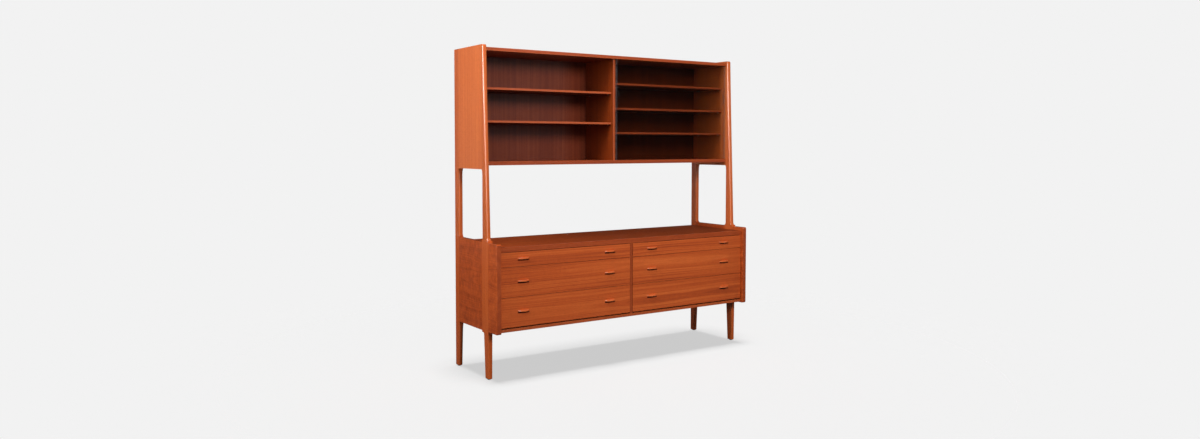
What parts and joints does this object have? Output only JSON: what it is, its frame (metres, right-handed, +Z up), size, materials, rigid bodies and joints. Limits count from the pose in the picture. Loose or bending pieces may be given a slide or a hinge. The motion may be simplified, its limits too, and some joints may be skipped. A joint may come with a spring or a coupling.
{
  "type": "credenza",
  "caption": "Long teak credenza on tapered leg posts, with drawers below and a raised open-legged hutch with shelves and sliding glass panes above.",
  "frame": {"origin": "on the floor, under the middle of the overall width and depth", "axes": "+Z up, +X to the right as seen from the front, -Y towards the person who opens the drawers"},
  "size_m": [1.8034, 0.5016, 1.8097],
  "materials": {
    "frame_teak": "oiled teak, satin, upright grain",
    "front_teak": "oiled teak veneer, satin, grain along the width",
    "edge_teak": "solid teak lipping, satin",
    "inner_teak": "teak veneer inside the hutch, satin",
    "pull_teak": "carved solid teak, satin",
    "drawer_wood": "pale hardwood, matt",
    "floor_ply": "thin plywood, matt",
    "pane_glass": "clear polished glass",
    "pin_steel": "brushed steel",
    "glide_plastic": "dark matt plastic"
  },
  "bodies": {
    "carcase": {"left_front_leg": "frame_teak", "left_rear_leg": "frame_teak", "right_front_leg": "frame_teak", "right_rear_leg": "frame_teak", "left_side_panel": "frame_teak", "right_side_panel": "frame_teak", "left_front_strip": "frame_teak", "right_front_strip": "frame_teak", "cabinet_top": "front_teak", "cabinet_top_edge": "edge_teak", "cabinet_bottom": "inner_teak", "bottom_rail": "edge_teak", "cabinet_divider": "edge_teak", "cabinet_back": "inner_teak", "drawer_runners": "drawer_wood", "leg_glides": "glide_plastic", "hutch_dowels": "drawer_wood", "left_front_hutch_post": "frame_teak", "left_rear_hutch_post": "frame_teak", "right_front_hutch_post": "frame_teak", "right_rear_hutch_post": "frame_teak", "left_hutch_end": "frame_teak", "right_hutch_end": "frame_teak", "hutch_top": "edge_teak", "hutch_bottom": "edge_teak", "hutch_divider": "inner_teak", "hutch_back": "inner_teak", "shelf_pins": "pin_steel", "left_lower_shelf": "inner_teak", "left_upper_shelf": "inner_teak", "right_lower_shelf": "inner_teak", "right_middle_shelf": "inner_teak", "right_upper_shelf": "inner_teak"},
    "front_pane": {"front_glass_pane": "pane_glass"},
    "rear_pane": {"rear_glass_pane": "pane_glass"},
    "left_bottom_drawer": {"left_bottom_drawer_front": "front_teak", "left_bottom_drawer_box": "drawer_wood", "left_bottom_drawer_floor": "floor_ply", "left_bottom_drawer_pulls": "pull_teak"},
    "left_middle_drawer": {"left_middle_drawer_front": "front_teak", "left_middle_drawer_box": "drawer_wood", "left_middle_drawer_floor": "floor_ply", "left_middle_drawer_pulls": "pull_teak"},
    "left_top_drawer": {"left_top_drawer_front": "front_teak", "left_top_drawer_box": "drawer_wood", "left_top_drawer_floor": "floor_ply", "left_top_drawer_pulls": "pull_teak"},
    "right_bottom_drawer": {"right_bottom_drawer_front": "front_teak", "right_bottom_drawer_box": "drawer_wood", "right_bottom_drawer_floor": "floor_ply", "right_bottom_drawer_pulls": "pull_teak"},
    "right_middle_drawer": {"right_middle_drawer_front": "front_teak", "right_middle_drawer_box": "drawer_wood", "right_middle_drawer_floor": "floor_ply", "right_middle_drawer_pulls": "pull_teak"},
    "right_top_drawer": {"right_top_drawer_front": "front_teak", "right_top_drawer_box": "drawer_wood", "right_top_drawer_floor": "floor_ply", "right_top_drawer_pulls": "pull_teak"}
  },
  "joints": [
    {"name": "front_pane_slide", "type": "slide", "parent": "carcase", "child": "front_pane", "axis": [-1, 0, 0], "range_m": [0, 0.8797]},
    {"name": "rear_pane_slide", "type": "slide", "parent": "carcase", "child": "rear_pane", "axis": [-1, 0, 0], "range_m": [0, 0.8797]},
    {"name": "left_bottom_drawer_slide", "type": "slide", "parent": "carcase", "child": "left_bottom_drawer", "axis": [0, -1, 0], "range_m": [0, 0.36]},
    {"name": "left_middle_drawer_slide", "type": "slide", "parent": "carcase", "child": "left_middle_drawer", "axis": [0, -1, 0], "range_m": [0, 0.36]},
    {"name": "left_top_drawer_slide", "type": "slide", "parent": "carcase", "child": "left_top_drawer", "axis": [0, -1, 0], "range_m": [0, 0.36]},
    {"name": "right_bottom_drawer_slide", "type": "slide", "parent": "carcase", "child": "right_bottom_drawer", "axis": [0, -1, 0], "range_m": [0, 0.36]},
    {"name": "right_middle_drawer_slide", "type": "slide", "parent": "carcase", "child": "right_middle_drawer", "axis": [0, -1, 0], "range_m": [0, 0.36]},
    {"name": "right_top_drawer_slide", "type": "slide", "parent": "carcase", "child": "right_top_drawer", "axis": [0, -1, 0], "range_m": [0, 0.36]}
  ]
}
